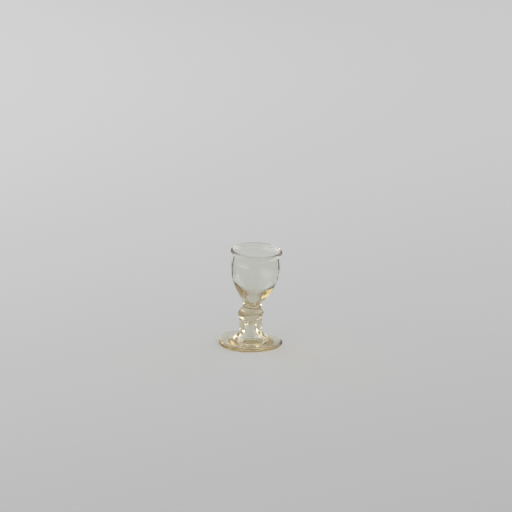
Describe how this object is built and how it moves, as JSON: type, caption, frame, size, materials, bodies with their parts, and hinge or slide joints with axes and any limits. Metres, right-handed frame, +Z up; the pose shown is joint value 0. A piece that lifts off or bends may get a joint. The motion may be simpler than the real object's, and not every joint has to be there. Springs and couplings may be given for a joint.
{
  "type": "stemmed drinking glass",
  "caption": "Small hand-blown goblet: beaded, everted lip, ovoid bowl with a pointed well, ringed knop, hollow flared stem, round foot.",
  "frame": {"origin": "middle of the foot's underside, on the table", "axes": "+Z up; the bowl leans a few degrees from +Z towards +X"},
  "size_m": [0.04, 0.04, 0.0617],
  "materials": {
    "straw_glass": "clear, fire-polished, with a faint straw tint where it is thick"
  },
  "bodies": {
    "root": {"foot": "straw_glass", "stem": "straw_glass", "knop": "straw_glass", "bowl": "straw_glass"}
  },
  "joints": []
}
